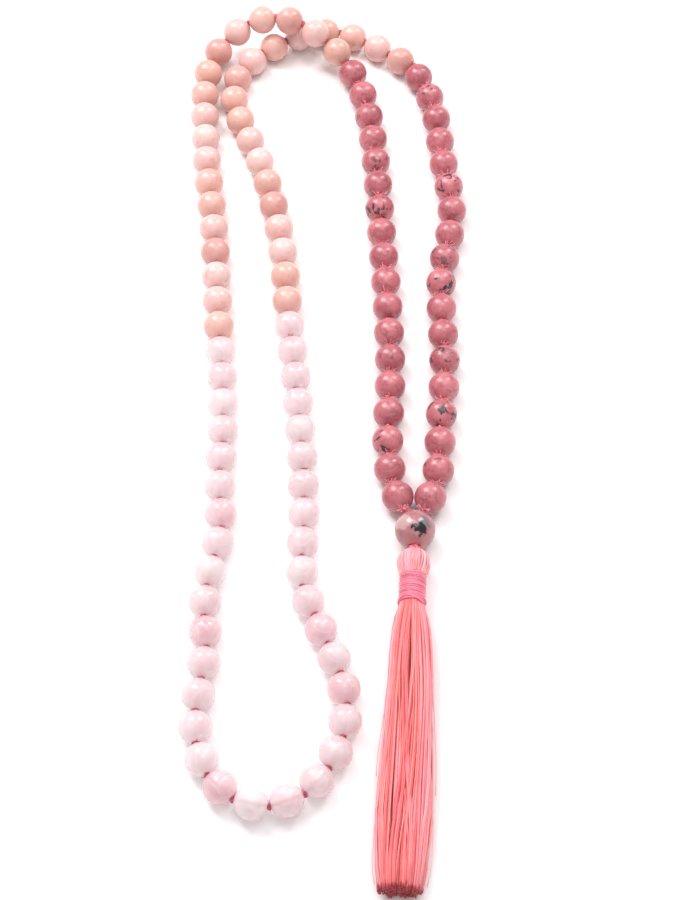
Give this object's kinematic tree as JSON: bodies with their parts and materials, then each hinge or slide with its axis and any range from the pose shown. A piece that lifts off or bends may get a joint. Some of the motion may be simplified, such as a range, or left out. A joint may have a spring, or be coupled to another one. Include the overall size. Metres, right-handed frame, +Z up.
{
  "type": "mala prayer beads",
  "caption": "Knotted strand of pink gemstone mala beads with a larger guru bead and a silk tassel, laid flat as a long loop that crosses over itself once.",
  "frame": {"origin": "on the plane the beads lie on, under the middle of the whole object", "axes": "+Y from the tassel's end to the top of the loop, +X to the right of that, +Z up"},
  "size_m": [0.0773, 0.2718, 0.0159],
  "materials": {
    "rhodonite": "gloss",
    "pink_opal": "gloss",
    "rose_quartz": "gloss",
    "guru_stone": "gloss",
    "cord": "matte",
    "wrap_thread": "satin",
    "tassel_silk": "satin"
  },
  "bodies": {
    "crown": {"cord_crown_over": "cord", "cord_crown_under": "cord", "pink_opal_crown_over": "pink_opal", "pink_opal_crown_under": "pink_opal", "rhodonite_crown_over": "rhodonite", "rhodonite_crown_under": "rhodonite"},
    "left_1": {"cord_left_1": "cord", "pink_opal_left_1_inner": "pink_opal", "pink_opal_left_1_outer": "pink_opal"},
    "left_2": {"cord_left_2": "cord", "pink_opal_left_2_inner": "pink_opal", "pink_opal_left_2_outer": "pink_opal"},
    "left_3": {"cord_left_3": "cord", "pink_opal_left_3_outer": "pink_opal", "rose_quartz_left_3_inner": "rose_quartz", "rose_quartz_left_3_outer": "rose_quartz"},
    "left_4": {"cord_left_4": "cord", "rose_quartz_left_4_inner": "rose_quartz", "rose_quartz_left_4_outer": "rose_quartz"},
    "left_5": {"cord_left_5": "cord", "rose_quartz_left_5_inner": "rose_quartz", "rose_quartz_left_5_outer": "rose_quartz"},
    "loop_end": {"cord_loop_end": "cord", "rose_quartz_loop_end_bend": "rose_quartz"},
    "right_1": {"cord_right_1": "cord", "rhodonite_right_1_left": "rhodonite", "rhodonite_right_1_right": "rhodonite"},
    "right_2": {"cord_right_2": "cord", "rhodonite_right_2_left": "rhodonite", "rhodonite_right_2_right": "rhodonite"},
    "right_3": {"cord_right_3": "cord", "rhodonite_right_3_left": "rhodonite", "rhodonite_right_3_right": "rhodonite"},
    "right_4": {"cord_right_4": "cord", "rhodonite_right_4_left": "rhodonite", "rhodonite_right_4_right": "rhodonite"},
    "guru_bead": {"guru_bead": "guru_stone"},
    "tie_knot": {"tie_knot": "cord"},
    "tassel_head": {"tassel_head": "tassel_silk", "tassel_wrap": "wrap_thread"},
    "tassel_skirt": {"tassel_skirt": "tassel_silk"},
    "pink_opal_left_1_turning_29": {"pink_opal_left_1_turning_29": "pink_opal"},
    "pink_opal_left_2_turning_72": {"pink_opal_left_2_turning_72": "pink_opal"},
    "rose_quartz_left_3_turning_36": {"rose_quartz_left_3_turning_36": "rose_quartz"},
    "rose_quartz_left_4_turning_64": {"rose_quartz_left_4_turning_64": "rose_quartz"},
    "rose_quartz_left_5_turning_45": {"rose_quartz_left_5_turning_45": "rose_quartz"},
    "rhodonite_right_1_turning_13": {"rhodonite_right_1_turning_13": "rhodonite"},
    "rhodonite_right_2_turning_97": {"rhodonite_right_2_turning_97": "rhodonite"},
    "rhodonite_right_3_turning_5": {"rhodonite_right_3_turning_5": "rhodonite"},
    "rhodonite_right_4_turning_105": {"rhodonite_right_4_turning_105": "rhodonite"},
    "rose_quartz_loop_end_turning_50": {"rose_quartz_loop_end_turning_50": "rose_quartz"},
    "rose_quartz_loop_end_turning_56": {"rose_quartz_loop_end_turning_56": "rose_quartz"},
    "pink_opal_crown_turning_25": {"pink_opal_crown_turning_25": "pink_opal"},
    "rhodonite_crown_turning_89": {"rhodonite_crown_turning_89": "rhodonite"}
  },
  "joints": [
    {"name": "left_fold_1", "type": "hinge", "parent": "crown", "child": "left_1", "pos_m": [-0.02845, 0.09247, 0.004], "axis": [0.9933, -0.1156, 0], "range_deg": [-30, 30]},
    {"name": "left_fold_2", "type": "hinge", "parent": "left_1", "child": "left_2", "pos_m": [-0.02198, 0.0596, 0.004], "axis": [1, -0.0047, 0], "range_deg": [-30, 30]},
    {"name": "left_fold_3", "type": "hinge", "parent": "left_2", "child": "left_3", "pos_m": [-0.01886, 0.02609, 0.004], "axis": [1, 0.0028, 0], "range_deg": [-30, 30]},
    {"name": "left_fold_4", "type": "hinge", "parent": "left_3", "child": "left_4", "pos_m": [-0.01589, -0.00745, 0.004], "axis": [1, 0.0064, 0], "range_deg": [-30, 30]},
    {"name": "left_fold_5", "type": "hinge", "parent": "left_4", "child": "left_5", "pos_m": [-0.01468, -0.04108, 0.004], "axis": [1, 0.0057, 0], "range_deg": [-30, 30]},
    {"name": "left_fold_6", "type": "hinge", "parent": "left_5", "child": "loop_end", "pos_m": [-0.01276, -0.07393, 0.004], "axis": [0.9994, 0.0358, 0], "range_deg": [-30, 30]},
    {"name": "right_fold_1", "type": "hinge", "parent": "crown", "child": "right_1", "pos_m": [0.0222, 0.09246, 0.004], "axis": [0.999, -0.0457, 0], "range_deg": [-30, 30]},
    {"name": "right_fold_2", "type": "hinge", "parent": "right_1", "child": "right_2", "pos_m": [0.02475, 0.05804, 0.004], "axis": [0.9992, -0.0389, 0], "range_deg": [-30, 30]},
    {"name": "right_fold_3", "type": "hinge", "parent": "right_2", "child": "right_3", "pos_m": [0.02388, 0.02367, 0.004], "axis": [0.9994, -0.0334, 0], "range_deg": [-30, 30]},
    {"name": "right_fold_4", "type": "hinge", "parent": "right_3", "child": "right_4", "pos_m": [0.02286, -0.01082, 0.004], "axis": [0.9995, -0.0307, 0], "range_deg": [-30, 30]},
    {"name": "guru_turn", "type": "hinge", "parent": "right_4", "child": "guru_bead", "pos_m": [0.0226, -0.0423, 0.005], "axis": [-0.0558, -0.9984, 0], "continuous": true},
    {"name": "tassel_sway", "type": "hinge", "parent": "right_4", "child": "tie_knot", "pos_m": [0.0223, -0.04764, 0.005], "axis": [0, 0, 1], "range_deg": [-5, 30]},
    {"name": "tassel_lift", "type": "hinge", "parent": "tie_knot", "child": "tassel_head", "pos_m": [0.0223, -0.04764, 0.005], "axis": [0.9984, -0.0558, 0], "range_deg": [-35, 35]},
    {"name": "skirt_bend", "type": "hinge", "parent": "tassel_head", "child": "tassel_skirt", "pos_m": [0.02142, -0.06342, 0.00475], "axis": [0.9984, -0.0558, 0], "range_deg": [-25, 25]},
    {"name": "bead_29_turn", "type": "hinge", "parent": "left_1", "child": "pink_opal_left_1_turning_29", "pos_m": [-0.03227, 0.07217, 0.004], "axis": [0.1311, -0.9914, 0], "continuous": true},
    {"name": "bead_72_turn", "type": "hinge", "parent": "left_2", "child": "pink_opal_left_2_turning_72", "pos_m": [-0.01054, 0.03871, 0.004], "axis": [-0.0721, 0.9974, 0], "continuous": true},
    {"name": "bead_36_turn", "type": "hinge", "parent": "left_3", "child": "rose_quartz_left_3_turning_36", "pos_m": [-0.02695, 0.01349, 0.004], "axis": [0.1002, -0.995, 0], "continuous": true},
    {"name": "bead_64_turn", "type": "hinge", "parent": "left_4", "child": "rose_quartz_left_4_turning_64", "pos_m": [-0.00489, -0.02839, 0.004], "axis": [-0.0437, 0.999, 0], "continuous": true},
    {"name": "bead_45_turn", "type": "hinge", "parent": "left_5", "child": "rose_quartz_left_5_turning_45", "pos_m": [-0.02793, -0.06188, 0.004], "axis": [-0.0185, -0.9998, 0], "continuous": true},
    {"name": "bead_13_turn", "type": "hinge", "parent": "right_1", "child": "rhodonite_right_1_turning_13", "pos_m": [0.0139, 0.07999, 0.004], "axis": [-0.075, 0.9972, 0], "continuous": true},
    {"name": "bead_97_turn", "type": "hinge", "parent": "right_2", "child": "rhodonite_right_2_turning_97", "pos_m": [0.03208, 0.04493, 0.004], "axis": [-0.2072, -0.9783, 0], "continuous": true},
    {"name": "bead_5_turn", "type": "hinge", "parent": "right_3", "child": "rhodonite_right_3_turning_5", "pos_m": [0.01708, 0.01095, 0.004], "axis": [-0.0101, 0.9999, 0], "continuous": true},
    {"name": "bead_105_turn", "type": "hinge", "parent": "right_4", "child": "rhodonite_right_4_turning_105", "pos_m": [0.02875, -0.02395, 0.00405], "axis": [-0.1226, -0.9924, 0.0119], "continuous": true},
    {"name": "bead_50_turn", "type": "hinge", "parent": "loop_end", "child": "rose_quartz_loop_end_turning_50", "pos_m": [-0.02708, -0.10351, 0.004], "axis": [0.3656, -0.9308, 0], "continuous": true},
    {"name": "bead_56_turn", "type": "hinge", "parent": "loop_end", "child": "rose_quartz_loop_end_turning_56", "pos_m": [0.00555, -0.09375, 0.004], "axis": [0.1162, 0.9932, 0], "continuous": true},
    {"name": "bead_25_turn", "type": "hinge", "parent": "crown", "child": "pink_opal_crown_turning_25", "pos_m": [-0.03476, 0.10573, 0.00404], "axis": [0.0066, -0.9999, -0.0085], "continuous": true},
    {"name": "bead_89_turn", "type": "hinge", "parent": "crown", "child": "rhodonite_crown_turning_89", "pos_m": [0.02645, 0.11282, 0.004], "axis": [0.4431, -0.8965, 0], "continuous": true}
  ]
}
